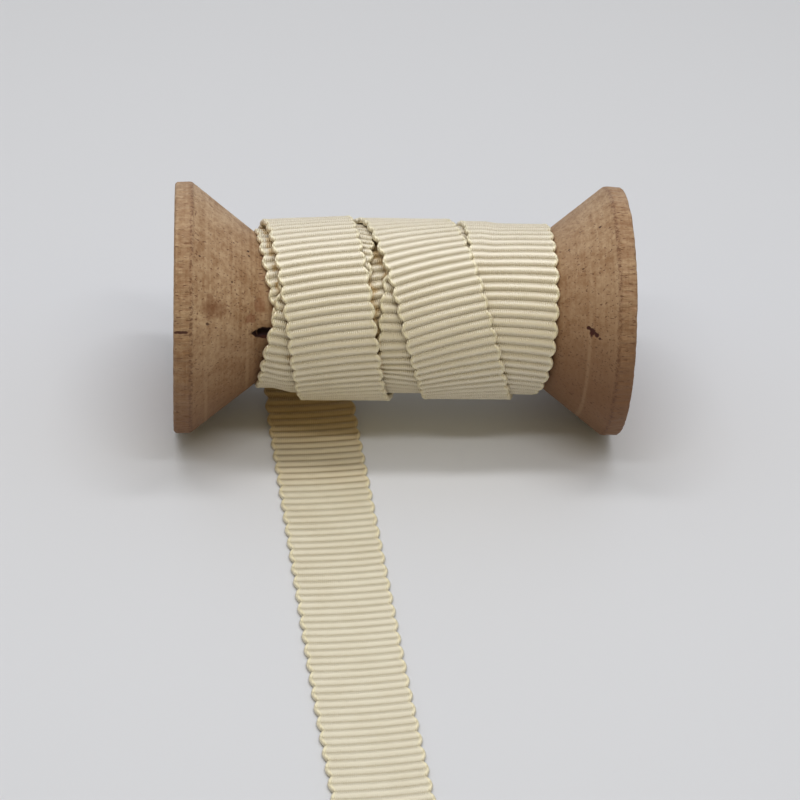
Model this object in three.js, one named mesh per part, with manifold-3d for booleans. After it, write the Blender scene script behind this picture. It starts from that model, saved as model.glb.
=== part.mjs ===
// A turned wooden spool wound with ribbed petersham ribbon, its loose end run out flat in front.
//
// Millimetres, +Z up. The spool lies on its side with its axis along X, and the loose end runs towards -Y.
// The origin is the middle of the bottom of the whole object's box.

import * as THREE from 'three';
import { mergeVertices } from 'three/addons/utils/BufferGeometryUtils.js';
import Module from 'manifold-3d';

const wasm = await Module();
wasm.setup();

// Spool
const SPOOL_LENGTH = 70;
const FLANGE_RADIUS = 19.6;
const RIM_WIDTH = 2.65;
const RIM_ROUNDING = 0.5;
const CORE_RADIUS = 11.5;
const CONE_FOOT_X = 22.05;
const BORE_RADIUS = 4;
const BORE_CHAMFER = 0.6;
const SPOOL_SIDES = 72;
const REST_FLAT_DEPTH = 0.12;
const AXIS_HEIGHT = FLANGE_RADIUS - REST_FLAT_DEPTH;

// Ribbon
const RIBBON_WIDTH = 14.5;
const RIB_PITCH = 1.45;
const RIB_DEPTH = 0.35;
const SCALLOP_DEPTH = 0.5;
const CREST_SETBACK = 0.14;
const WOOD_CLEARANCE = 0.4;
const WOUND_ROOT_RADIUS = 10.5;
const SLEEVE_RADIUS = 12.2;
const SLEEVE_HALF_LENGTH = 21.5;
const PLAIN_STEP_DEG = 9;
const PIECE_SPAN_DEG = 250;

// Loose end
const TAIL_THICKNESS = 0.95;
const LEAVING_PULL = 7.5;
const TOUCHDOWN_Y = -8.5;
const TOUCHDOWN_PULL = 9.5;
const TAIL_END_Y = -98;
const JOINT_GAP = 0.35;

// Where the ribbon runs. Each row is one station on its way from the core to the loose end:
// turn is the angle wound, from the front over the top to the back, x the place of the ribbon's
// middle along the spool, and radius its outer face. It goes to the left, to the right and back.
const WINDING = [
  { turn: -700, x: 15.4, radius: 12.4 },
  { turn: -640, x: 13.6, radius: 12.4 },
  { turn: -322, x: 0.95, radius: 12.4 },
  { turn: 38, x: -13.25, radius: 12.4 },
  { turn: 107, x: -15.45, radius: 12.4 },
  { turn: 200, x: -15.65, radius: 12.4 },
  { turn: 330, x: -15.2, radius: 12.5 },
  { turn: 360, x: -14.5, radius: 12.5 },
  { turn: 385, x: -13.6, radius: 12.7 },
  { turn: 420, x: -12.25, radius: 13.3 },
  { turn: 455, x: -10.8, radius: 13.3 },
  { turn: 702, x: 2.35, radius: 13.1 },
  { turn: 768, x: 3.9, radius: 13.1 },
  { turn: 1048, x: 15.4, radius: 13.3 },
  { turn: 1095, x: 16.7, radius: 13.5 },
  { turn: 1160, x: 16.95, radius: 13.6 },
  { turn: 1250, x: 15.6, radius: 13.7 },
  { turn: 1407, x: 10.35, radius: 14.1 },
  { turn: 1480, x: 5.8, radius: 14.3 },
  { turn: 1545, x: 1.7, radius: 14.3 },
  { turn: 1762, x: -8.7, radius: 14.4 },
  { turn: 1839, x: -11.6, radius: 14.35 },
  { turn: 1907, x: -14, radius: 14.3 },
  { turn: 1960, x: -15, radius: 14.7 },
  { turn: 2010, x: -15.2, radius: 15.7 },
];
const RIBBED_FROM_TURN = 1000;
const LEAVING_TURN = WINDING.at(-1).turn;

// The loose end's middle, seen from above: its place along the spool at each distance in front.
const TAIL_ROUTE = [
  { y: 0, x: -13.4 },
  { y: -8.7, x: -12.6 },
  { y: -41.4, x: -9.75 },
  { y: -62.3, x: -7.95 },
  { y: -85.6, x: -5.6 },
  { y: -98, x: -4.3 },
];

const radians = THREE.MathUtils.degToRad;

/** Smooth value of one column of a table at a place in another column, which rises down the table. */
function columnAt(rows, key, column, place) {
  const last = rows.length - 1;
  const k = THREE.MathUtils.clamp(rows.findIndex((row) => row[key] > place) - 1, 0, last - 1);
  const at = place >= rows[last][key] ? last - 1 : k;
  const slope = (i) => {
    const a = rows[Math.max(i - 1, 0)];
    const b = rows[Math.min(i + 1, last)];
    return (b[column] - a[column]) / (b[key] - a[key]);
  };
  const span = rows[at + 1][key] - rows[at][key];
  const t = THREE.MathUtils.clamp((place - rows[at][key]) / span, 0, 1);
  const t2 = t * t;
  const t3 = t2 * t;
  return (2 * t3 - 3 * t2 + 1) * rows[at][column]
    + (t3 - 2 * t2 + t) * span * slope(at)
    + (3 * t2 - 2 * t3) * rows[at + 1][column]
    + (t3 - t2) * span * slope(at + 1);
}

/** Closed body for cutting and joining, from a three.js geometry. */
function solidOf(geometry) {
  const bare = geometry.clone();
  bare.deleteAttribute('normal');
  bare.deleteAttribute('uv');
  const merged = mergeVertices(bare, 1e-4);
  return new wasm.Manifold(new wasm.Mesh({
    numProp: 3,
    vertProperties: new Float32Array(merged.attributes.position.array),
    triVerts: new Uint32Array(merged.index.array),
  }));
}

/** three.js geometry of a cut or joined body. */
function geometryOf(solid) {
  const mesh = solid.getMesh();
  const geometry = new THREE.BufferGeometry();
  geometry.setAttribute('position', new THREE.BufferAttribute(new Float32Array(mesh.vertProperties), 3));
  geometry.setIndex(new THREE.BufferAttribute(new Uint32Array(mesh.triVerts), 1));
  geometry.computeVertexNormals();
  return geometry;
}

/** Closed body lofted through rings of points that all have the same count and order. */
function loft(rings) {
  const count = rings[0].length;
  const position = rings.flat().flatMap((point) => point.toArray());
  const index = [];
  for (let i = 0; i + 1 < rings.length; i++) {
    for (let j = 0; j < count; j++) {
      const next = (j + 1) % count;
      const a = i * count + j;
      const b = i * count + next;
      index.push(a, b, b + count, a, b + count, a + count);
    }
  }
  const end = (rings.length - 1) * count;
  for (let j = 1; j + 1 < count; j++) {
    index.push(0, j + 1, j);
    index.push(end, end + j, end + j + 1);
  }
  const geometry = new THREE.BufferGeometry();
  geometry.setAttribute('position', new THREE.Float32BufferAttribute(position, 3));
  geometry.setIndex(index);
  return geometry;
}

/** The spool turned on its axis, with its bore, or a grown copy of it that clears it all round. */
function spoolGeometry(grown) {
  const half = SPOOL_LENGTH / 2;
  const rim = half - RIM_WIDTH;
  const flank = [
    [FLANGE_RADIUS, rim],
    [FLANGE_RADIUS, half - RIM_ROUNDING],
    [FLANGE_RADIUS - RIM_ROUNDING, half],
    [BORE_RADIUS + BORE_CHAMFER, half],
    [BORE_RADIUS, half - BORE_CHAMFER],
  ].map(([radius, x]) => new THREE.Vector2(radius + grown, x));
  const foot = new THREE.Vector2(CORE_RADIUS + grown, CONE_FOOT_X);
  const right = [foot, ...flank];
  const left = right.map((point) => new THREE.Vector2(point.x, -point.y)).reverse();
  const profile = [...left, ...right];
  if (grown > 0) {
    const solidEnds = profile.filter((point) => point.x > CORE_RADIUS);
    const first = new THREE.Vector2(0, solidEnds[0].y);
    const last = new THREE.Vector2(0, solidEnds.at(-1).y);
    return new THREE.LatheGeometry([first, ...solidEnds, last], SPOOL_SIDES).rotateZ(-Math.PI / 2);
  }
  return new THREE.LatheGeometry([...profile, profile[0].clone()], SPOOL_SIDES).rotateZ(-Math.PI / 2);
}

/** The spool with the small flats at the bottom of its two rims, on which it lies. */
function bobbin() {
  const turned = solidOf(spoolGeometry(0));
  const floor = new THREE.BoxGeometry(SPOOL_LENGTH + 10, 40, 10).translate(0, 0, -AXIS_HEIGHT - 5);
  const geometry = geometryOf(turned.subtract(solidOf(floor)));
  return geometry.translate(0, 0, AXIS_HEIGHT);
}

/** Half width of the ribbon on one side at a quarter of a scallop, and whether a rib's crest is there. */
function edgeAt(quarter, side) {
  const phase = (quarter + (side < 0 ? 0 : 2)) % 4;
  const setback = [CREST_SETBACK, SCALLOP_DEPTH, CREST_SETBACK, 0][phase];
  return RIBBON_WIDTH / 2 - setback;
}

/** Place of the ribbon on the roll: across is measured from its middle, square to its run. */
function onRoll(turn, across, radius) {
  const step = 1;
  const run = radians(2 * step) * columnAt(WINDING, 'turn', 'radius', turn);
  const drift = columnAt(WINDING, 'turn', 'x', turn + step) - columnAt(WINDING, 'turn', 'x', turn - step);
  const lead = Math.atan2(drift, run);
  const outer = columnAt(WINDING, 'turn', 'radius', turn);
  const angle = radians(turn) - (across * Math.sin(lead)) / outer;
  const x = columnAt(WINDING, 'turn', 'x', turn) + across * Math.cos(lead);
  return new THREE.Vector3(x, -radius * Math.cos(angle), radius * Math.sin(angle));
}

/** One stretch of the wound ribbon as a block down to the wood, between two angles. */
function woundStretch(stations) {
  const rings = stations.map(({ turn, depth, left, right }) => {
    const outer = columnAt(WINDING, 'turn', 'radius', turn) - depth;
    return [
      onRoll(turn, -left, WOUND_ROOT_RADIUS),
      onRoll(turn, -left, outer),
      onRoll(turn, right, outer),
      onRoll(turn, right, WOUND_ROOT_RADIUS),
    ];
  });
  return loft(rings);
}

/** Stations of the whole winding: plain steps low down, crest and valley of each rib in the outer pass. */
function windingStations() {
  const stations = [];
  const plainHalf = (RIBBON_WIDTH - SCALLOP_DEPTH) / 2;
  const plainCount = Math.round((RIBBED_FROM_TURN - WINDING[0].turn) / PLAIN_STEP_DEG);
  for (let i = 0; i < plainCount; i++) {
    const turn = THREE.MathUtils.lerp(WINDING[0].turn, RIBBED_FROM_TURN, i / plainCount);
    stations.push({ turn, depth: 0, left: plainHalf, right: plainHalf });
  }
  let turn = RIBBED_FROM_TURN;
  const lastTurn = LEAVING_TURN - THREE.MathUtils.radToDeg(JOINT_GAP / WINDING.at(-1).radius);
  for (let quarter = 0; turn < lastTurn; quarter++) {
    const crest = quarter % 2 === 0;
    stations.push({
      turn,
      depth: crest ? 0 : RIB_DEPTH,
      left: edgeAt(quarter % 4, -1),
      right: edgeAt(quarter % 4, 1),
    });
    turn += THREE.MathUtils.radToDeg(RIB_PITCH / 2 / columnAt(WINDING, 'turn', 'radius', turn));
  }
  stations.push({ turn: lastTurn, depth: RIB_DEPTH / 2, left: plainHalf, right: plainHalf });
  return stations;
}

/** The wound ribbon: every turn as a stepped band on its way, joined, and cut clear of the wood. */
function roll() {
  const sleeve = new THREE.CylinderGeometry(SLEEVE_RADIUS, SLEEVE_RADIUS, 2 * SLEEVE_HALF_LENGTH, SPOOL_SIDES);
  const parts = [solidOf(sleeve.rotateZ(Math.PI / 2))];
  const stations = windingStations();
  for (let start = 0; start < stations.length - 1;) {
    let end = start + 1;
    while (end < stations.length - 1 && stations[end].turn - stations[start].turn < PIECE_SPAN_DEG) {
      end += 1;
    }
    parts.push(solidOf(woundStretch(stations.slice(start, end + 1))));
    start = end;
  }
  const joined = wasm.Manifold.union(parts);
  const clear = joined.subtract(solidOf(spoolGeometry(WOOD_CLEARANCE)));
  return geometryOf(clear).translate(0, 0, AXIS_HEIGHT);
}

/** Side view of the loose end's middle, as (y, z): off the back of the roll, down, and flat forward. */
function tailSide() {
  const angle = radians(LEAVING_TURN);
  const radius = WINDING.at(-1).radius - TAIL_THICKNESS / 2;
  const start = new THREE.Vector2(-radius * Math.cos(angle), AXIS_HEIGHT + radius * Math.sin(angle));
  const leaving = new THREE.Vector2(Math.sin(angle), Math.cos(angle)).multiplyScalar(LEAVING_PULL);
  const touchdown = new THREE.Vector2(TOUCHDOWN_Y, TAIL_THICKNESS / 2);
  const bend = new THREE.CubicBezierCurve(
    start,
    start.clone().add(leaving),
    touchdown.clone().add(new THREE.Vector2(TOUCHDOWN_PULL, 0)),
    touchdown,
  );
  const path = new THREE.CurvePath();
  path.add(bend);
  path.add(new THREE.LineCurve(touchdown, new THREE.Vector2(TAIL_END_Y, TAIL_THICKNESS / 2)));
  return path;
}

/** Place of the loose end's middle along the spool, at a distance y in front of the axis. */
function tailMiddle(y) {
  const start = WINDING.at(-1);
  if (y > 0) {
    const reach = -start.radius * Math.cos(radians(start.turn));
    return THREE.MathUtils.lerp(TAIL_ROUTE[0].x, start.x, THREE.MathUtils.smoothstep(y, 0, reach));
  }
  const rows = TAIL_ROUTE.map((row) => ({ ahead: -row.y, x: row.x }));
  return columnAt(rows, 'ahead', 'x', -y);
}

/** The loose end: a sheet with ribs on both faces and scalloped edges, level where it lies. */
function tail() {
  const path = tailSide();
  const length = path.getLength();
  const steps = 2 * Math.round(length / RIB_PITCH);
  const middle = path.getSpacedPoints(steps).map((point) => tailMiddle(point.x));
  const rings = [];
  for (let i = 0; i <= steps; i++) {
    const before = Math.max(i - 1, 0);
    const after = Math.min(i + 1, steps);
    const lead = Math.atan2(middle[after] - middle[before], ((after - before) * length) / steps);
    const face = (TAIL_THICKNESS - (i % 2 === 0 ? 0 : RIB_DEPTH)) / 2;
    const corner = (across, height) => {
      const along = THREE.MathUtils.clamp(i / steps - (across * Math.sin(lead)) / length, 0, 1);
      const centre = path.getPointAt(along);
      const run = path.getTangentAt(along);
      const side = centre.clone().add(new THREE.Vector2(run.y, -run.x).multiplyScalar(height));
      return new THREE.Vector3(middle[i] + across * Math.cos(lead), side.x, side.y);
    };
    const left = edgeAt(i % 4, -1);
    const right = edgeAt(i % 4, 1);
    rings.push([
      corner(-left, face),
      corner(-left, -face),
      corner(right, -face),
      corner(right, face),
    ]);
  }
  return loft(rings);
}

const wood = new THREE.MeshStandardMaterial({ color: 0xa5825c, roughness: 0.7, metalness: 0 });
const ribbon = new THREE.MeshStandardMaterial({ color: 0xe2dac5, roughness: 0.6, metalness: 0 });

/** A named mesh of one piece. */
function piece(name, geometry, material) {
  const mesh = new THREE.Mesh(geometry, material);
  mesh.name = name;
  return mesh;
}

const spool = new THREE.Group();
spool.add(piece('spool_bobbin', bobbin(), wood));
spool.add(piece('ribbon_roll', roll(), ribbon));
spool.add(piece('ribbon_tail', tail(), ribbon));

const box = new THREE.Box3().setFromObject(spool);
const centre = box.getCenter(new THREE.Vector3());
spool.position.set(-centre.x, -centre.y, -box.min.z);

export default spool;
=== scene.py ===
"""A turned wooden spool wound with cream petersham ribbon, its loose end lying flat in front.

The ribbon is woven as one length: it is laid on the wood turn by turn, each turn resting on what is
under it, and then cut into four pieces where the cuts are out of sight. Ribbon sizes are millimetres,
and the finished meshes are metres in the frame's own axes.
"""

import logging
import math
from dataclasses import dataclass, field
from enum import Enum
from typing import Any

import bpy
import numpy as np
from mathutils import Matrix, Vector, noise


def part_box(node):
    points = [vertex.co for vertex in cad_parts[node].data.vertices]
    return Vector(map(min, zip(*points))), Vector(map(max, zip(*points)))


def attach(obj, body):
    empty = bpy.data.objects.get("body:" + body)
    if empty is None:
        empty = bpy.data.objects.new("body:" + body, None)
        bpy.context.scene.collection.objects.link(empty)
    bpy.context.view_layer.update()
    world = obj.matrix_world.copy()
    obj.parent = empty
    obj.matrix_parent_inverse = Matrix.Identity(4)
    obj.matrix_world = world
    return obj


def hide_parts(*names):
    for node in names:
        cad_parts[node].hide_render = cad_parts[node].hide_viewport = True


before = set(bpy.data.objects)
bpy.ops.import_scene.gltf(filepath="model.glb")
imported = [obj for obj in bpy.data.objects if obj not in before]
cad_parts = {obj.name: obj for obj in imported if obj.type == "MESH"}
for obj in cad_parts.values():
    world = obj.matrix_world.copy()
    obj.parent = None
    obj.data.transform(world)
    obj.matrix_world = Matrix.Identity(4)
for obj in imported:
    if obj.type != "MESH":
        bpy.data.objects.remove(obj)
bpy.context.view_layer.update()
LOG = logging.getLogger("spool")
MM = 0.001


class Held(Enum):
    """How a length of ribbon is held."""

    WOUND = "stretched"
    LOOSE = "laid"


class Side(Enum):
    """The two long edges of the ribbon, as the sign of their place across it."""

    LEFT = -1
    RIGHT = 1


@dataclass(frozen=True)
class Station:
    """One row of the winding.

    The turn is in degrees from the front over the top to the back. The place of the ribbon's middle
    along the spool, the radius of its outer face and the rise from its left edge to its right one are
    in millimetres.
    """

    turn: float
    x: float
    radius: float
    rise: float = 0.0


# From the core to the loose end: to the left, to the right, and back to the left on top.
WINDING = (
    Station(turn=-700, x=15.4, radius=12.4),
    Station(turn=-640, x=13.6, radius=12.4),
    Station(turn=-322, x=0.95, radius=12.4),
    Station(turn=-250, x=-1.1, radius=12.4),
    Station(turn=38, x=-13.25, radius=12.4),
    Station(turn=107, x=-15.45, radius=12.4),
    Station(turn=200, x=-15.65, radius=12.4),
    Station(turn=330, x=-15.2, radius=12.5),
    Station(turn=360, x=-14.5, radius=12.5),
    Station(turn=385, x=-13.35, radius=12.7),
    Station(turn=420, x=-11.9, radius=13.3),
    Station(turn=455, x=-10.9, radius=13.3),
    Station(turn=702, x=2.6, radius=13.1),
    Station(turn=740, x=2.95, radius=13.1),
    Station(turn=768, x=3.5, radius=13.1),
    Station(turn=1048, x=15.4, radius=13.3),
    Station(turn=1095, x=16.7, radius=13.5),
    Station(turn=1160, x=16.95, radius=13.6),
    Station(turn=1250, x=15.6, radius=13.7),
    Station(turn=1407, x=10.35, radius=14.1),
    Station(turn=1480, x=5.8, radius=14.3),
    Station(turn=1545, x=1.7, radius=14.3),
    Station(turn=1762, x=-8.7, radius=14.4),
    Station(turn=1839, x=-11.6, radius=14.35),
    Station(turn=1907, x=-14.0, radius=14.2, rise=0.6),
    Station(turn=1960, x=-15.0, radius=14.5, rise=0.6),
    Station(turn=2010, x=-15.2, radius=15.7),
)


@dataclass(frozen=True)
class Crossing:
    """Place of the loose end's middle along the spool, at a distance in front of the spool's axis."""

    ahead: float
    x: float


# Across a line in front of the spool's axis, from where the loose end comes out to past the photo.
LOOSE_ROUTE = (
    Crossing(ahead=0, x=-13.4),
    Crossing(ahead=8.7, x=-12.6),
    Crossing(ahead=41.4, x=-9.75),
    Crossing(ahead=62.3, x=-7.95),
    Crossing(ahead=85.6, x=-5.6),
    Crossing(ahead=98, x=-4.3),
)


def smooth_column(keys: np.ndarray, values: np.ndarray, places: np.ndarray) -> np.ndarray:
    """Smooth curve through one column of a table.

    Args:
        keys: the rising column that the table is read by.
        values: the column wanted.
        places: where to read it.

    Returns:
        The values at those places, as a cubic curve through the rows.
    """
    slopes = np.empty_like(values)
    slopes[1:-1] = (values[2:] - values[:-2]) / (keys[2:] - keys[:-2])
    slopes[0] = (values[1] - values[0]) / (keys[1] - keys[0])
    slopes[-1] = (values[-1] - values[-2]) / (keys[-1] - keys[-2])
    row = np.clip(np.searchsorted(keys, places, side="right") - 1, 0, len(keys) - 2)
    span = keys[row + 1] - keys[row]
    t = np.clip((places - keys[row]) / span, 0, 1)
    return (
        (2 * t**3 - 3 * t**2 + 1) * values[row]
        + (t**3 - 2 * t**2 + t) * span * slopes[row]
        + (3 * t**2 - 2 * t**3) * values[row + 1]
        + (t**3 - t**2) * span * slopes[row + 1]
    )


def smooth_step(low: float, high: float, value: np.ndarray) -> np.ndarray:
    """Share from 0 to 1 of the way from low to high, with soft ends."""
    t = np.clip((value - low) / (high - low), 0, 1)
    return t * t * (3 - 2 * t)


def wander(first: np.ndarray, second: np.ndarray) -> np.ndarray:
    """Slow uneven waves from -1 to 1 over two places, the same on every run."""
    waves = np.sin(first * 1.7 + 2.1 * np.sin(second * 0.9 + 0.4))
    waves = waves + np.sin(first * 0.63 - second * 1.31 + 1.9)
    waves = waves + np.sin(first * 3.1 + second * 0.57 + 4.2)
    return waves / 3


def mesh_object(name: str, points: np.ndarray, faces: list[tuple[int, ...]]) -> bpy.types.Object:
    """Smooth-shaded object from points in metres and faces that turn outwards."""
    mesh = bpy.data.meshes.new(name)
    mesh.from_pydata(points.tolist(), [], faces)
    mesh.shade_smooth()
    mesh.update()
    made = bpy.data.objects.new(name, mesh)
    bpy.context.scene.collection.objects.link(made)
    return made


def point_value(piece: bpy.types.Object, name: str, values: np.ndarray) -> None:
    """Stores one number at each point of a mesh, for its finish to read."""
    attribute = piece.data.attributes.new(name, "FLOAT", "POINT")
    attribute.data.foreach_set("value", values.astype(np.float32).ravel())


class Recipe:
    """The nodes of a material, or of the world, written down step by step."""

    def __init__(self, owner: bpy.types.Material | bpy.types.World) -> None:
        """Starts with no nodes."""
        owner.use_nodes = True
        self.owner = owner
        self.tree = owner.node_tree
        self.tree.nodes.clear()

    @classmethod
    def of_material(cls, name: str) -> "Recipe":
        """Recipe of a new material."""
        return cls(bpy.data.materials.new(name))

    def add(self, kind: str, inputs: dict[Any, Any] | None = None, **settings: Any) -> bpy.types.Node:
        """Adds one node.

        Args:
            kind: the node's Blender type, without its ShaderNode prefix.
            inputs: what goes into its sockets, by name or number: another node's socket or a constant.
            settings: the node's own options.

        Returns:
            The node.
        """
        node = self.tree.nodes.new("ShaderNode" + kind)
        for option, value in settings.items():
            setattr(node, option, value)
        for socket, value in (inputs or {}).items():
            if isinstance(value, bpy.types.NodeSocket):
                self.tree.links.new(value, node.inputs[socket])
            else:
                node.inputs[socket].default_value = value
        return node

    def sum(self, operation: str, *values: Any) -> bpy.types.NodeSocket:
        """Socket that holds the result of one piece of arithmetic."""
        node = self.add("Math", dict(enumerate(values)), operation=operation)
        return node.outputs[0]

    def blend(self, share: Any, first: Any, second: Any, mode: str = "MIX") -> bpy.types.NodeSocket:
        """Socket that holds two colours mixed by a share."""
        node = self.add("Mix", {0: share, 6: first, 7: second}, data_type="RGBA", blend_type=mode)
        return node.outputs[2]

    def between(self, value: Any, low: float, high: float, to_low: float = 0, to_high: float = 1) -> Any:
        """Socket that holds a value spread softly from one range to another."""
        inputs = {0: value, 1: low, 2: high, 3: to_low, 4: to_high}
        return self.add("MapRange", inputs, interpolation_type="SMOOTHSTEP").outputs[0]

    def grain(self, where: Any, scale: float, detail: float = 2, rough: float = 0.5) -> Any:
        """Socket that holds smooth seeded noise from 0 to 1."""
        inputs = {"Vector": where, "Scale": scale, "Detail": detail, "Roughness": rough}
        return self.add("TexNoise", inputs).outputs[0]

    def stretched(self, where: Any, scale: tuple[float, float, float]) -> Any:
        """Socket that holds a place with each axis scaled."""
        return self.add("Mapping", {"Vector": where, "Scale": scale}).outputs[0]

    def finish(self, shader: bpy.types.Node, output: str = "OutputMaterial") -> Any:
        """Joins the shader to the output and hands back what the recipe is for."""
        self.add(output, {0: shader.outputs[0]})
        return self.owner


@dataclass(frozen=True)
class SpoolSizes:
    """The turned spool, in millimetres, worked out from the frame's own node."""

    half_length: float
    flange_radius: float
    axis_y: float
    axis_z: float
    core_radius: float = 11.5
    cone_foot_x: float = 22.05
    rim_width: float = 2.65
    rim_rounding: float = 0.5
    bore_radius: float = 4.0
    bore_chamfer: float = 0.6

    @classmethod
    def from_node(cls, node: str) -> "SpoolSizes":
        """Reads the spool's length, radius and axis from its box."""
        low, high = (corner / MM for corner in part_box(node))
        radius = (high.y - low.y) / 2
        return cls(high.x, radius, (high.y + low.y) / 2, high.z - radius)

    @property
    def rim_x(self) -> float:
        """Where the cones end and the rims start."""
        return self.half_length - self.rim_width

    def wood_radius(self, x: np.ndarray) -> np.ndarray:
        """Radius of the wood at places along the spool."""
        stops = [0, self.cone_foot_x, self.rim_x, self.half_length]
        radii = [self.core_radius, self.core_radius, self.flange_radius, self.flange_radius]
        return np.interp(np.abs(x), stops, radii)

    def on_wood(self, x: float, turn: float, depth: float = 0.0) -> Vector:
        """Point of the wood's face in the frame, or at a depth under it, in metres."""
        angle = math.radians(turn)
        radius = float(self.wood_radius(np.array(x))) - depth
        y = self.axis_y - radius * math.cos(angle)
        return Vector((x, y, self.axis_z + radius * math.sin(angle))) * MM


@dataclass(frozen=True)
class Weave:
    """Sizes of the petersham, in millimetres."""

    width_wound: float = 14.0
    width_loose: float = 14.5
    pitch_wound: float = 1.385
    pitch_loose: float = 1.456
    thickness: float = 0.8
    rib_depth: float = 0.25
    rib_depth_loose: float = 0.15
    uneven: float = 0.03
    scallop_depth: float = 0.6
    scallop_roundness: float = 1.84
    cord_inset: float = 0.3
    cord_half_width: float = 0.22
    cord_notch: float = 0.6
    cord_rise: float = 0.05
    side_rounding: float = 0.3
    bow: float = 0.25

    def off_tip(self, rib: np.ndarray, side: Side) -> np.ndarray:
        """Share of the way from a scallop's tip, at 0, to the notches beside it, at 1."""
        tip = 1.5 if side is Side.LEFT else 0.5
        return np.abs((rib - tip + 1) % 2 - 1)

    def half_width(self, rib: np.ndarray, side: Side, width: np.ndarray) -> np.ndarray:
        """Distance from the ribbon's middle to its scalloped edge."""
        return width / 2 - self.scallop_depth * self.off_tip(rib, side) ** self.scallop_roundness

    def cord(self, rib: np.ndarray, inset: np.ndarray, side: Side) -> np.ndarray:
        """Share of the weft cord that turns from one rib to the next along an edge."""
        cord = np.exp(-(((inset - self.cord_inset) / self.cord_half_width) ** 2))
        return cord * (1 - self.cord_notch * self.off_tip(rib, side) ** 4)

    def face_height(self, rib: np.ndarray, inset: np.ndarray, side: Side, slack: np.ndarray) -> np.ndarray:
        """Height of a face over the middle of the sheet.

        Args:
            rib: place along the ribbon in ribs, whole numbers on the crests.
            inset: distance in from the scalloped edge.
            side: which edge that is.
            slack: share from 0 where the ribbon is wound to 1 where it lies loose, in a softer wave.

        Returns:
            The height, with the cord standing a little over the ribs.
        """
        crest = np.abs(np.cos(math.pi * rib))
        dip = (1 - slack) * self.rib_depth * (1 - crest) + slack * self.rib_depth_loose * (1 - crest**2)
        cord = self.cord(rib, inset, side)
        lumps = self.uneven * wander(rib * 1.3, inset * 0.4 + side.value)
        full = self.thickness / 2 - dip * (1 - cord) + self.cord_rise * cord + lumps * crest
        into = np.clip(1 - inset / self.side_rounding, 0, 1)
        return full * np.sqrt(1 - into**2)


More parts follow.
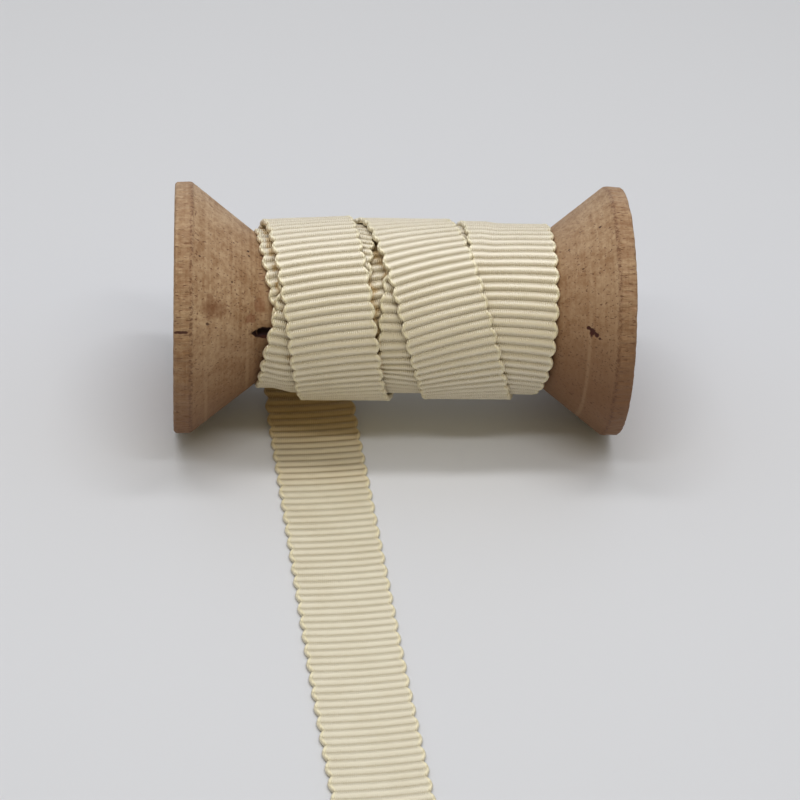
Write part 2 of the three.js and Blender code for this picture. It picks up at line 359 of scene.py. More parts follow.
@dataclass
class Winding:
    """Lays the ribbon on the spool, turn by turn, so that it bends over the edges of what is under it."""

    spool: SpoolSizes
    weave: Weave
    rows: tuple[Station, ...] = WINDING
    step_deg: int = 2
    along_steps: int = 5
    across_steps: int = 4
    across_mm: float = 0.5
    soft_edge: float = 1.0
    layer_height: float = 0.8
    bin_mm: float = 0.25
    fine_places: int = 121
    sunk_reach: float = 1.2
    sunk_start: float = 0.3
    bare_height: float = 0.5
    turns: np.ndarray = field(init=False)
    middle: np.ndarray = field(init=False)
    lead: np.ndarray = field(init=False)
    radius: np.ndarray = field(init=False)
    rise: np.ndarray = field(init=False)
    across: np.ndarray = field(init=False)
    outer: np.ndarray = field(init=False)
    tops: np.ndarray = field(init=False)

    def __post_init__(self) -> None:
        """Reads the table and lays the whole length."""
        keys = np.array([row.turn for row in self.rows], float)
        self.turns = np.arange(keys[0], keys[-1] + self.step_deg, self.step_deg)
        self.middle = smooth_column(keys, np.array([row.x for row in self.rows]), self.turns)
        self.radius = smooth_column(keys, np.array([row.radius for row in self.rows]), self.turns)
        self.rise = smooth_column(keys, np.array([row.rise for row in self.rows]), self.turns)
        self.lead = np.arctan2(np.gradient(self.middle, np.radians(self.turns)), self.radius)
        half = self.weave.width_wound / 2
        self.across = np.arange(-half, half + self.across_mm / 2, self.across_mm)
        self.outer = self.lay()

    @property
    def bins_round(self) -> int:
        """Cells of the height map round the spool."""
        return 360 // self.step_deg

    def bins(self, index: int, across: np.ndarray) -> tuple[np.ndarray, np.ndarray]:
        """Cells of the height map under one rib, as angle and place along the spool."""
        shift = np.degrees(across * math.sin(self.lead[index]) / self.radius[index])
        around = np.round((self.turns[index] - shift) / self.step_deg).astype(int)
        along = self.middle[index] + across * math.cos(self.lead[index]) + self.spool.half_length
        return around % self.bins_round, np.round(along / self.bin_mm).astype(int)

    @staticmethod
    def bridged(rows: np.ndarray, reach: int) -> np.ndarray:
        """Rows of heights spanned smoothly over their dips, never lower than they were."""
        padded = np.concatenate([rows[:1]] * (2 * reach) + [rows] + [rows[-1:]] * (2 * reach))
        size = 2 * reach + 1
        lifted = np.array([padded[k : k + size].max(axis=0) for k in range(len(padded) - size + 1)])
        share = np.hanning(size + 2)[1:-1]
        share = share / share.sum()
        return np.array([share @ lifted[k : k + size] for k in range(len(lifted) - size + 1)])

    def resting(self, heights: np.ndarray, index: int) -> np.ndarray:
        """Outer radii across one rib as it lies on what is under it.

        Args:
            heights: what is laid so far.
            index: the station.

        Returns:
            The radii, from the left edge to the right.
        """
        around, along = self.bins(index, self.across)
        under = np.max([heights[around - 1, along], heights[around, along]], axis=0)
        edge = round(self.soft_edge / self.across_mm)
        under[:edge], under[-edge:] = under[edge], under[-edge - 1]
        lying = self.bridged(under, self.across_steps) + self.layer_height
        tilted = self.radius[index] + self.rise[index] * self.across / self.weave.width_wound
        return np.maximum(lying, tilted)

    def lay(self) -> np.ndarray:
        """Lays every rib in order, each smoothed with the ones beside it.

        Returns:
            Outer radius of the ribbon at each station and place across.
        """
        count, ahead = len(self.turns), 2 * self.along_steps
        cells = np.arange(round(2 * self.spool.half_length / self.bin_mm) + 1)
        wood = self.spool.wood_radius(cells * self.bin_mm - self.spool.half_length)
        heights = np.tile(wood, (self.bins_round, 1))
        half = self.weave.width_wound / 2 - self.soft_edge
        fine = np.linspace(-half, half, self.fine_places)
        raw = np.zeros((count, len(self.across)))
        raw[:ahead] = [self.resting(heights, i) for i in range(ahead)]
        laid = np.zeros_like(raw)
        for i in range(count):
            known = min(i + ahead, count - 1)
            raw[known] = self.resting(heights, known)
            window = np.clip(np.arange(i - ahead, i + ahead + 1), 0, count - 1)
            laid[i] = self.bridged(raw[window], self.along_steps)[ahead]
            around, along = self.bins(i, fine)
            top = np.interp(fine, self.across, laid[i])
            heights[around, along] = np.maximum(heights[around, along], top)
        self.tops = heights
        return laid

    def sunk(self, turn: np.ndarray, x: np.ndarray, radius: np.ndarray) -> np.ndarray:
        """How far places on the roll lie below the turns around them.

        Args:
            turn: turn angles in degrees.
            x: places along the spool.
            radius: the places' own radii.

        Returns:
            The depth in millimetres, nothing where a place is on top.
        """
        reach = round(self.sunk_reach / self.bin_mm)
        ribbon = np.where(self.tops > self.spool.core_radius + self.bare_height, self.tops, 0)
        near = np.max([np.roll(ribbon, k, axis=1) for k in range(-reach, reach + 1)], axis=0)
        near = np.mean([np.roll(near, k, axis=0) for k in (-2, -1, 0, 1, 2)], axis=0)
        around = np.round(turn / self.step_deg).astype(int) % self.bins_round
        along = np.round((x + self.spool.half_length) / self.bin_mm).astype(int)
        return np.maximum(near[around, along] - radius - self.sunk_start, 0)


@dataclass(frozen=True)
class Leaving:
    """How the ribbon leaves the roll at the back and comes to lie in front, in millimetres."""

    pull: float = 7.5
    touchdown_ahead: float = 8.5
    touchdown_pull: float = 9.5
    end_ahead: float = 98.0
    clear_of_floor: float = 0.07


@dataclass(frozen=True)
class PaintedGlow:
    """A stretch in front of the spool's axis over which the loose end gets painted shade and a painted warm
    glow, as under the roll, in millimetres.
    """

    share: float
    starts: float
    full: float


# Painted shade and warm glow on the loose end, growing towards the roll.
PAINTED_GLOWS = (PaintedGlow(share=0.55, starts=-30, full=-18), PaintedGlow(share=0.45, starts=-14, full=0))


@dataclass
class Route:
    """The whole length of the ribbon as one line seen from the side, with what it does at each place."""

    spool: SpoolSizes
    weave: Weave
    winding: Winding
    leaving: Leaving
    turn_step: float = 0.5
    flat_step: float = 0.25
    wood_gap: float = 0.02
    fully_sunk: float = 1.5
    glow_fades: float = 10.0
    reach: np.ndarray = field(init=False)
    turn: np.ndarray = field(init=False)
    x: np.ndarray = field(init=False)
    y: np.ndarray = field(init=False)
    z: np.ndarray = field(init=False)
    out_y: np.ndarray = field(init=False)
    out_z: np.ndarray = field(init=False)
    lead: np.ndarray = field(init=False)
    width: np.ndarray = field(init=False)
    rib: np.ndarray = field(init=False)

    def __post_init__(self) -> None:
        """Joins the wound part and the loose end."""
        weave, winding = self.weave, self.winding
        wound = self.wound_line()
        loose = self.loose_line(wound)
        joined = {key: np.concatenate([wound[key], loose[key]]) for key in wound}
        self.y, self.z = joined["y"], joined["z"]
        step = np.hypot(np.diff(self.y), np.diff(self.z))
        self.reach = np.concatenate([[0], np.cumsum(step)])
        self.out_y, self.out_z = joined["out_y"], joined["out_z"]
        self.x, self.turn = joined["x"], joined["turn"]
        self.lead = np.arctan(np.gradient(self.x, self.reach))
        loose_share = smooth_step(winding.turns[-1] - 60, winding.turns[-1], self.turn)
        self.width = weave.width_wound + (weave.width_loose - weave.width_wound) * loose_share
        pitch = weave.pitch_wound + (weave.pitch_loose - weave.pitch_wound) * loose_share
        ribs = np.hypot(np.diff(self.x), step) / pitch[1:]
        self.rib = np.concatenate([[0], np.cumsum(ribs)])

    def wound_line(self) -> dict[str, np.ndarray]:
        """The middle of the sheet on the roll, at even small turns."""
        winding = self.winding
        turn = np.arange(winding.turns[0], winding.turns[-1] + self.turn_step / 2, self.turn_step)
        middle = winding.outer[:, winding.outer.shape[1] // 2]
        radius = np.interp(turn, winding.turns, middle) - self.weave.thickness / 2
        angle = np.radians(turn)
        return {
            "turn": turn,
            "x": np.interp(turn, winding.turns, winding.middle),
            "y": -radius * np.cos(angle),
            "z": self.spool.axis_z + radius * np.sin(angle),
            "out_y": -np.cos(angle),
            "out_z": np.sin(angle),
        }

    def loose_line(self, wound: dict[str, np.ndarray]) -> dict[str, np.ndarray]:
        """The middle of the sheet off the back of the roll, down to the floor and flat forward."""
        leaving = self.leaving
        level = self.weave.thickness / 2 + leaving.clear_of_floor
        angle = math.radians(wound["turn"][-1])
        start = np.array([wound["y"][-1], wound["z"][-1]])
        down = start + leaving.pull * np.array([math.sin(angle), math.cos(angle)])
        end = np.array([-leaving.touchdown_ahead, level])
        near = end + np.array([leaving.touchdown_pull, 0])
        t = np.linspace(0, 1, 241)[1:, None]
        bend = (1 - t) ** 3 * start + 3 * (1 - t) ** 2 * t * down + 3 * (1 - t) * t**2 * near + t**3 * end
        flat_y = np.arange(end[0], -leaving.end_ahead - self.flat_step / 2, -self.flat_step)[1:]
        y = np.concatenate([bend[:, 0], flat_y])
        z = np.concatenate([bend[:, 1], np.full(len(flat_y), level)])
        run_y, run_z = np.gradient(y), np.gradient(z)
        length = np.hypot(run_y, run_z)
        keys = np.array([row.ahead for row in LOOSE_ROUTE], float)
        in_front = smooth_column(keys, np.array([row.x for row in LOOSE_ROUTE]), -y)
        share = smooth_step(0, start[0], y)
        behind = LOOSE_ROUTE[0].x + (wound["x"][-1] - LOOSE_ROUTE[0].x) * share
        return {
            "turn": np.full(len(y), wound["turn"][-1]),
            "x": np.where(y > 0, behind, in_front),
            "y": y,
            "z": z,
            "out_y": -run_z / length,
            "out_z": run_y / length,
        }

    def bent(self, reach: np.ndarray, across: np.ndarray) -> np.ndarray:
        """How far the sheet stands off its middle line, where it bends over what is under it.

        Args:
            reach: place along the line.
            across: distance from the ribbon's middle.

        Returns:
            The distance outwards, nothing on the loose end.
        """
        w = self.winding
        turn = np.interp(reach, self.reach, self.turn)
        row = np.clip((turn - w.turns[0]) / w.step_deg, 0, len(w.turns) - 1.001)
        column = np.clip((across - w.across[0]) / w.across_mm, 0, len(w.across) - 1.001)
        i, j = row.astype(int), column.astype(int)
        u, v = row - i, column - j
        near = w.outer[i, j] * (1 - v) + w.outer[i, j + 1] * v
        after = w.outer[i + 1, j] * (1 - v) + w.outer[i + 1, j + 1] * v
        middle = w.outer[:, w.outer.shape[1] // 2]
        off = near * (1 - u) + after * u - (middle[i] * (1 - u) + middle[i + 1] * u)
        return off * (1 - smooth_step(w.turns[-1] - 40, w.turns[-1] - 5, turn))

    def rib_at_turn(self, turn: float) -> int:
        """The nearest whole rib to an angle on the roll."""
        wound = slice(int(np.searchsorted(self.turn, self.turn[-1]) + 1))
        return round(float(np.interp(turn, self.turn[wound], self.rib[wound])))

    def length_between(self, first: int, last: int) -> float:
        """Length of the ribbon between two ribs, in metres."""
        steps = np.hypot(np.diff(self.x), np.diff(self.reach))
        start, end = np.interp([first, last], self.rib, np.concatenate([[0], np.cumsum(steps)]))
        return float(end - start) * MM

    def place(self, rib: np.ndarray, across: np.ndarray, height: np.ndarray) -> np.ndarray:
        """Points of the ribbon in the frame.

        Args:
            rib: place along the ribbon in ribs.
            across: distance from its middle, to the right.
            height: distance from the middle of the sheet, outwards.

        Returns:
            Points in metres, clear of the wood.
        """
        reach = np.interp(rib, self.rib, self.reach)
        lead = np.interp(reach, self.reach, self.lead)
        bowed = self.weave.bow * (1 - (2 * across / self.weave.width_wound) ** 2)
        at = reach - across * np.sin(lead) + bowed
        off = height + self.bent(at, across)
        y = np.interp(at, self.reach, self.y) + off * np.interp(at, self.reach, self.out_y)
        z = np.interp(at, self.reach, self.z) + off * np.interp(at, self.reach, self.out_z)
        x = np.interp(reach, self.reach, self.x) + across * np.cos(lead)
        from_axis = np.hypot(y, z - self.spool.axis_z)
        grow = np.maximum(self.spool.wood_radius(x) + self.wood_gap, from_axis) / from_axis
        y, z = y * grow, self.spool.axis_z + (z - self.spool.axis_z) * grow
        return np.stack([x, y + self.spool.axis_y, z], axis=-1) * MM

    def shaded(self, points: np.ndarray, held: Held) -> np.ndarray:
        """Share from 0 to 1 by which each point lies among other ribbon or near the roll, where its finish
        paints shade and a warm glow.

        Args:
            points: points of the ribbon in the frame, in metres.
            held: how the ribbon is held there.

        Returns:
            The share at each point.
        """
        x = points[..., 0] / MM
        y = points[..., 1] / MM - self.spool.axis_y
        z = points[..., 2] / MM - self.spool.axis_z
        # On the loose end the share is painted shade and glow in the roll's shadow; on the roll it is painted
        # shade and glow in the gaps between turns.
        if held is Held.LOOSE:
            near = sum(glow.share * smooth_step(glow.starts, glow.full, y) for glow in PAINTED_GLOWS)
            return near * (1 - smooth_step(0, self.glow_fades, y))
        turn = np.degrees(np.arctan2(z, -y))
        return np.clip(self.winding.sunk(turn, x, np.hypot(y, z)) / self.fully_sunk, 0, 1)


@dataclass(frozen=True)
class RibbonFinish:
    """Cream petersham: satin ribs, with the warp threads showing as teeth along the valleys, painted shade in
    the valleys and gaps, a painted warm glow, and a painted highlight on the edge cords.
    """

    name: str
    cream: tuple[float, float, float, float] = (0.725, 0.655, 0.51, 1)
    # The valley and gap colours below are painted shade, the next a painted warm glow, the next partly a
    # painted edge highlight, and the last a shaded copy of the cream for the loose end.
    painted_valley_shade: tuple[float, float, float, float] = (0.36, 0.26, 0.08, 1)
    painted_deep_shade: tuple[float, float, float, float] = (0.15, 0.085, 0.03, 1)
    painted_warm_glow: tuple[float, float, float, float] = (0.62, 0.42, 0.16, 1)
    ivory_and_edge_highlight: tuple[float, float, float, float] = (0.87, 0.79, 0.53, 1)
    loose_shaded_cream: tuple[float, float, float, float] = (0.70, 0.65, 0.52, 1)
    ior: float = 2.0
    thread_pitch: float = 0.3
    tooth: float = 0.1
    thread_depth: float = 0.005
    rib_depth: float = 0.2

    @staticmethod
    def crest(r: Recipe, rib: Any) -> Any:
        """Socket for the height over a valley, from 0 to 1 on the crests."""
        return r.sum("ABSOLUTE", r.sum("COSINE", r.sum("MULTIPLY", rib, math.pi)))

    def material(self) -> bpy.types.Material:
        """The node material, which reads the ribs and the place across from the mesh."""
        r = Recipe.of_material(self.name)
        rib = r.add("Attribute", attribute_name="rib").outputs["Fac"]
        across = r.add("Attribute", attribute_name="across").outputs["Fac"]
        alternate = r.sum("MULTIPLY", r.sum("FLOOR", rib), math.pi)
        thread = r.sum("COSINE", r.sum("MULTIPLY_ADD", across, 2 * math.pi / self.thread_pitch, alternate))
        toothed = self.crest(r, r.sum("MULTIPLY_ADD", thread, self.tooth, rib))
        teeth = r.sum("MULTIPLY", r.sum("SUBTRACT", toothed, self.crest(r, rib)), self.rib_depth)
        deep = r.between(toothed, 0.05, 0.5, 1, 0)
        where = r.add("TexCoord").outputs["Object"]
        cloud = r.grain(where, 160, 3, 0.6)
        fibre = r.grain(where, 3500, 2, 0.6)
        rough = r.sum("MULTIPLY", r.sum("ADD", thread, fibre), self.thread_depth)
        height = r.sum("ADD", teeth, rough)
        shaded = r.add("Attribute", attribute_name="shaded").outputs["Fac"]
        # Painted shade in the rib valleys: a darker straw, turning deep umber where the ribbon lies sunk
        # among other turns or near the roll.
        valley = r.blend(r.between(shaded, 0.3, 0.7), self.painted_valley_shade, self.painted_deep_shade)
        depth = r.between(shaded, 0.3, 0.7, 0.25, 0.85)
        # Share of painted valley shade, plus a random cloudy tone.
        tone = r.sum("MULTIPLY_ADD", deep, depth, r.between(cloud, 0.3, 0.75, 0, 0.1))
        slack = r.add("Attribute", attribute_name="slack").outputs["Fac"]
        # The loose end takes a shaded copy of the cream, a little darker and cooler, painted to suit how it
        # is lit.
        plain = r.blend(slack, self.cream, self.loose_shaded_cream)
        colour = r.blend(r.add("Clamp", {0: tone}).outputs[0], plain, valley)
        cord = r.add("Attribute", attribute_name="cord").outputs["Fac"]
        # The edge cords lighter and yellower: partly the cord's own colour, partly a painted highlight along
        # the edges.
        colour = r.blend(r.sum("MULTIPLY", cord, 0.7), colour, self.ivory_and_edge_highlight)
        # Painted warm glow where the ribbon lies sunk among other turns or under the roll.
        colour = r.blend(r.between(shaded, 0.4, 1.0, 0, 0.8), colour, self.painted_warm_glow)
        shader = r.add("BsdfPrincipled", {
            "Base Color": colour,
            "Roughness": r.sum("MULTIPLY_ADD", deep, 0.2, 0.42),
            "IOR": self.ior,
            "Specular IOR Level": 1.0,
            "Sheen Weight": 0.1,
            "Sheen Roughness": 0.4,
            "Normal": r.add("Bump", {"Height": height, "Strength": 1.0, "Distance": MM}).outputs[0],
        })
        return r.finish(shader)


@dataclass
class Ribbon:
    """The petersham, woven as meshes with real ribs and scalloped edges."""

    weave: Weave
    route: Route
    rib_steps: tuple[float, ...] = (0, 0.12, 0.23, 0.32, 0.4, 0.46, 0.5, 0.54, 0.6, 0.68, 0.77, 0.88)
    edge_insets: tuple[float, ...] = (0, 0.04, 0.12, 0.24, 0.4, 0.6, 0.85, 1.2)
    middle_columns: int = 7
    cut_turns: tuple[float, ...] = (190, 1000)
    slack_ribs: tuple[int, int] = (2, 12)

    def across_and_inset(self, rib: np.ndarray) -> tuple[np.ndarray, np.ndarray, np.ndarray]:
        """Columns of the weave at each row of ribs.

        Args:
            rib: the rows' places along the ribbon.

        Returns:
            The places across, the distances in from the nearer edge, and which columns are left ones.
        """
        width = np.interp(rib, self.route.rib, self.route.width)
        insets = np.array(self.edge_insets)
        left = -self.weave.half_width(rib, Side.LEFT, width)[:, None] + insets
        right = self.weave.half_width(rib, Side.RIGHT, width)[:, None] - insets[::-1]
        share = np.linspace(0, 1, self.middle_columns + 2)[1:-1]
        middle = left[:, -1:] + (right[:, :1] - left[:, -1:]) * share
        across = np.concatenate([left, middle, right], axis=1)
        from_left = across - left[:, :1]
        from_right = right[:, -1:] - across
        return across, np.minimum(from_left, from_right), from_left < from_right

    def weave_length(self, name: str, first: int, last: int, held: Held) -> bpy.types.Object:
        """One closed length of ribbon between two ribs, with the values its finish reads, riding on the
        frame.

        Args:
            name: the piece's name.
            first: the rib where it starts.
            last: the rib where it ends.
            held: how it is held.

        Returns:
            The piece.
        """
        rib = (np.arange(first, last)[:, None] + np.array(self.rib_steps)).ravel()
        rib = np.append(rib, last)
        rows = len(rib)
        across, inset, is_left = self.across_and_inset(rib)
        rib = np.broadcast_to(rib[:, None], across.shape)
        slack = np.zeros_like(across)
        if held is Held.LOOSE:
            slack = smooth_step(first + self.slack_ribs[0], first + self.slack_ribs[1], rib)
        height = np.where(
            is_left,
            self.weave.face_height(rib, inset, Side.LEFT, slack),
            self.weave.face_height(rib, inset, Side.RIGHT, slack),
        )
        cord = np.where(
            is_left,
            self.weave.cord(rib, inset, Side.LEFT),
            self.weave.cord(rib, inset, Side.RIGHT),
        )
        height = self.both_faces(height, -1)
        rib, across, cord, slack = (self.both_faces(values) for values in (rib, across, cord, slack))
        points = self.route.place(rib, across, height)
        columns = points.shape[1]
        piece = mesh_object(name, points.reshape(-1, 3), self.closed_faces(rows, columns))
        shaded = self.route.shaded(points, held)
        stored = {"rib": rib, "across": across, "cord": cord, "slack": slack, "shaded": shaded}
        for key, values in stored.items():
            point_value(piece, key, values)
        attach(piece, "root")
        length = self.route.length_between(first, last)
        LOG.info("%s: %d ribs, %.0f mm long", name, last - first, length / MM)
        return piece

    @staticmethod
    def both_faces(values: np.ndarray, sign: int = 1) -> np.ndarray:
        """Columns of the outer face, and then those of the inner one on the way back."""
        return np.concatenate([values, sign * values[:, -2:0:-1]], axis=1)

    @staticmethod
    def closed_faces(rows: int, columns: int) -> list[tuple[int, ...]]:
        """Faces of a closed tube of rings, with its two ends cut square."""
        faces = []
        for i in range(rows - 1):
            for j in range(columns):
                a, b = i * columns + j, i * columns + (j + 1) % columns
                faces.append((a, a + columns, b + columns, b))
        half = columns // 2
        for ring, turned in ((0, False), (rows - 1, True)):
            base = ring * columns
            for j in range(half):
                face = (base + j, base + j + 1, base + (columns - j - 1), base + (columns - j) % columns)
                face = tuple(dict.fromkeys(face))
                faces.append(face[::-1] if turned else face)
        return faces

    def build(self) -> list[bpy.types.Object]:
        """Weaves the four lengths and dresses them."""
        turns = (WINDING[0].turn, *self.cut_turns, WINDING[-1].turn)
        ribs = [self.route.rib_at_turn(turn) for turn in turns]
        end = int(self.route.rib[-1])
        pieces = [
            self.weave_length("ribbon_first_pass", ribs[0], ribs[1], Held.WOUND),
            self.weave_length("ribbon_second_pass", ribs[1], ribs[2], Held.WOUND),
            self.weave_length("ribbon_outer_pass", ribs[2], ribs[3], Held.WOUND),
            self.weave_length("ribbon_loose_end", ribs[3], end, Held.LOOSE),
        ]
        for piece in pieces[:3]:
            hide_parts("ribbon_roll")
        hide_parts("ribbon_tail")
        tight = RibbonFinish("petersham").material()
        loose = RibbonFinish("petersham_loose", ior=1.6, tooth=0.07).material()
        for piece, finish in zip(pieces, (tight, tight, tight, loose)):
            piece.data.materials.append(finish)
        return pieces


@dataclass(frozen=True)
class Mark:
    """A fault in the wood: a soft-edged patch on its face, in millimetres and degrees of turn."""

    x: float
    turn: float
    along: float
    around: float
    colour: tuple[float, float, float, float]
    strength: float
    depth: float = 0.0


# Near-black red in the holes: partly the wood's own dark colour, partly painted shade inside them.
HOLE_RED_AND_SHADE = (0.022, 0.004, 0.003, 1)
FLECK_RED = (0.055, 0.010, 0.006, 1)
PORE_BROWN = (0.055, 0.018, 0.010, 1)
STAIN_BROWN = (0.16, 0.058, 0.018, 1)
STAIN_RED = (0.19, 0.055, 0.02, 1)

MARKS = (
    Mark(x=-21.3, turn=18.6, along=1.35, around=0.85, colour=HOLE_RED_AND_SHADE, strength=1.0, depth=0.9),
    Mark(x=-22.5, turn=18.4, along=1.3, around=0.45, colour=HOLE_RED_AND_SHADE, strength=1.0, depth=0.3),
    Mark(x=-21.0, turn=15.0, along=0.8, around=0.35, colour=FLECK_RED, strength=0.9),
    Mark(x=-33.9, turn=26.3, along=1.3, around=0.2, colour=FLECK_RED, strength=0.9, depth=0.15),
    Mark(x=-29.6, turn=37.5, along=1.3, around=2.2, colour=STAIN_BROWN, strength=0.4),
    Mark(x=-28.3, turn=36.5, along=1.9, around=1.5, colour=STAIN_BROWN, strength=0.4),
    Mark(x=-29.9, turn=29.3, along=0.5, around=0.25, colour=PORE_BROWN, strength=0.8),
    Mark(x=-23.4, turn=30.3, along=3.0, around=0.8, colour=STAIN_RED, strength=0.5),
    Mark(x=-21.9, turn=38.5, along=0.9, around=1.6, colour=STAIN_RED, strength=0.4),
    Mark(x=28.0, turn=27.9, along=0.4, around=0.35, colour=FLECK_RED, strength=1.0),
    Mark(x=28.5, turn=26.2, along=0.55, around=0.6, colour=FLECK_RED, strength=1.0, depth=0.12),
    Mark(x=29.1, turn=24.8, along=0.6, around=0.4, colour=FLECK_RED, strength=1.0, depth=0.12),
    Mark(x=29.6, turn=23.3, along=0.4, around=0.2, colour=FLECK_RED, strength=0.9),
    Mark(x=-23.75, turn=80.0, along=0.35, around=0.18, colour=PORE_BROWN, strength=1.0),
    Mark(x=-25.9, turn=80.3, along=0.3, around=0.15, colour=PORE_BROWN, strength=0.8),
    Mark(x=-23.6, turn=76.1, along=0.3, around=0.2, colour=PORE_BROWN, strength=0.8),
    Mark(x=-31.1, turn=62.0, along=0.5, around=0.15, colour=PORE_BROWN, strength=0.9),
    Mark(x=-26.2, turn=52.7, along=0.4, around=0.2, colour=PORE_BROWN, strength=0.7),
    Mark(x=30.1, turn=83.6, along=0.4, around=0.2, colour=PORE_BROWN, strength=0.9),
    Mark(x=25.6, turn=78.3, along=0.45, around=0.2, colour=PORE_BROWN, strength=0.8),
    Mark(x=27.3, turn=61.5, along=0.4, around=0.15, colour=PORE_BROWN, strength=0.8),
)


@dataclass(frozen=True)
class WoodFinish:
    """Unfinished pinkish beech, turned: mottled grain, short pores, faint rings and rough rims, with painted
    shade towards the bottom.
    """

    spool: SpoolSizes
    line_places: tuple[float, ...] = (-30.05, -23.7, 28.3)
    raggedness: float = 1.8
    pale: tuple[float, float, float, float] = (0.50, 0.365, 0.24, 1)
    deep: tuple[float, float, float, float] = (0.31, 0.19, 0.105, 1)
    # Brown of the torn rim ridges, and also the painted shade towards the bottom.
    rim_brown_and_painted_shade: tuple[float, float, float, float] = (0.20, 0.10, 0.047, 1)
    pore: tuple[float, float, float, float] = (0.12, 0.05, 0.025, 1)

    def material(self) -> bpy.types.Material:
        """The node material, placed by the frame's own coordinates."""
        r = Recipe.of_material("turned_beech")
        where = r.add("TexCoord").outputs["Object"]
        grain = r.grain(r.stretched(where, (40, 420, 420)), 1, 4, 0.6)
        cloud = r.grain(where, 75, 3, 0.55)
        rings = r.grain(r.stretched(where, (2600, 60, 60)), 1, 2, 0.5)
        tone = r.sum("MULTIPLY_ADD", r.between(grain, 0.35, 0.7), 0.45, r.between(cloud, 0.35, 0.7, 0, 0.4))
        tone = r.sum("MULTIPLY_ADD", r.between(rings, 0.4, 0.65), 0.25, tone)
        mottle = r.grain(where, 1300, 3, 0.7)
        tone = r.sum("ADD", tone, r.between(mottle, 0.35, 0.65, -0.2, 0.3))
        colour = r.blend(r.add("Clamp", {0: tone}).outputs[0], self.pale, self.deep)
        place = r.add("SeparateXYZ", {0: where}).outputs
        # Painted shade: the wood darkens towards the bottom and a little towards the right end, by place in
        # the frame.
        painted_shade_height = r.sum("MULTIPLY_ADD", cloud, 0.012, r.sum("MULTIPLY_ADD", place[0], -0.15, place[2]))
        colour = r.blend(r.between(painted_shade_height, 0.0165, 0.0435, 0.9, 0), colour, self.rim_brown_and_painted_shade)
        flecks = r.grain(r.stretched(where, (1000, 3800, 3800)), 1, 1, 0.4)
        pores = r.between(flecks, 0.635, 0.71)
        colour = r.blend(r.sum("MULTIPLY", pores, 0.7), colour, self.pore)
        along = r.sum("ABSOLUTE", place[0])
        on_rim = r.between(along, (self.spool.rim_x - 0.1) * MM, (self.spool.rim_x + 0.25) * MM)
        ridges = r.between(r.grain(r.stretched(where, (330, 1500, 1500)), 1, 3, 0.6), 0.32, 0.68)
        colour = r.blend(r.sum("MULTIPLY", on_rim, r.sum("MULTIPLY", ridges, 0.42)), colour, self.rim_brown_and_painted_shade)
        colour = self.turned_lines(r, place[0], colour)
        colour = self.rim_line(r, where, along, colour)
        colour = self.marks(r, where, colour)
        height = r.sum("MULTIPLY_ADD", rings, 0.8, r.sum("MULTIPLY", grain, 0.6))
        height = r.sum("MULTIPLY_ADD", pores, -1.5, height)
        height = r.sum("MULTIPLY_ADD", mottle, 0.8, height)
        height = r.sum("MULTIPLY_ADD", r.sum("MULTIPLY", on_rim, ridges), -2.5, height)
        shader = r.add("BsdfPrincipled", {
            "Base Color": colour,
            "Roughness": r.between(cloud, 0.3, 0.7, 0.55, 0.7),
            "Specular IOR Level": 0.5,
            "Normal": r.add("Bump", {"Height": height, "Strength": 0.55, "Distance": 0.05 * MM}).outputs[0],
        })
        return r.finish(shader)

    def turned_lines(self, r: Recipe, x: Any, colour: Any) -> Any:
        """Faint pale lines left by the tool round the cones."""
        for line in self.line_places:
            off = r.sum("ABSOLUTE", r.sum("SUBTRACT", x, line * MM))
            colour = r.blend(r.between(off, 0.05 * MM, 0.4 * MM, 0.22, 0), colour, self.pale)
        return colour

    def rim_line(self, r: Recipe, where: Any, along: Any, colour: Any) -> Any:
        """Soft broken line of torn pores where each cone meets its rim."""
        off = r.sum("ABSOLUTE", r.sum("SUBTRACT", along, self.spool.rim_x * MM))
        band = r.between(off, 0.05 * MM, 0.5 * MM, 1, 0)
        broken = r.between(r.grain(where, 2100, 3, 0.7), 0.45, 0.62)
        share = r.sum("MULTIPLY", band, r.sum("MULTIPLY_ADD", broken, 0.6, 0.12))
        return r.blend(share, colour, self.pore)

    def marks(self, r: Recipe, where: Any, colour: Any) -> Any:
        """Lays each fault of the wood over the colour."""
        ragged = r.add("TexNoise", {"Vector": where, "Scale": 900.0, "Detail": 2.0}).outputs["Color"]
        for mark in MARKS:
            centre = self.spool.on_wood(mark.x, mark.turn, mark.depth / 2)
            off = r.add("VectorMath", {0: where, 1: tuple(centre)}, operation="SUBTRACT").outputs[0]
            around = mark.around + 0.3 * mark.depth
            sizes = (mark.along * MM, around * MM, around * MM)
            scaled = r.stretched(off, tuple(1 / size for size in sizes))
            fray = {0: ragged, 1: (self.raggedness,) * 3, 2: scaled}
            frayed = r.add("VectorMath", fray, operation="MULTIPLY_ADD").outputs[0]
            centred = r.add("VectorMath", {0: frayed, 1: (self.raggedness / 2,) * 3}, operation="SUBTRACT")
            far = r.add("VectorMath", {0: centred.outputs[0]}, operation="LENGTH").outputs["Value"]
            share = r.sum("MULTIPLY", r.between(far, 0.7, 1.15, 1, 0), mark.strength)
            colour = r.blend(share, colour, mark.colour)
        return colour


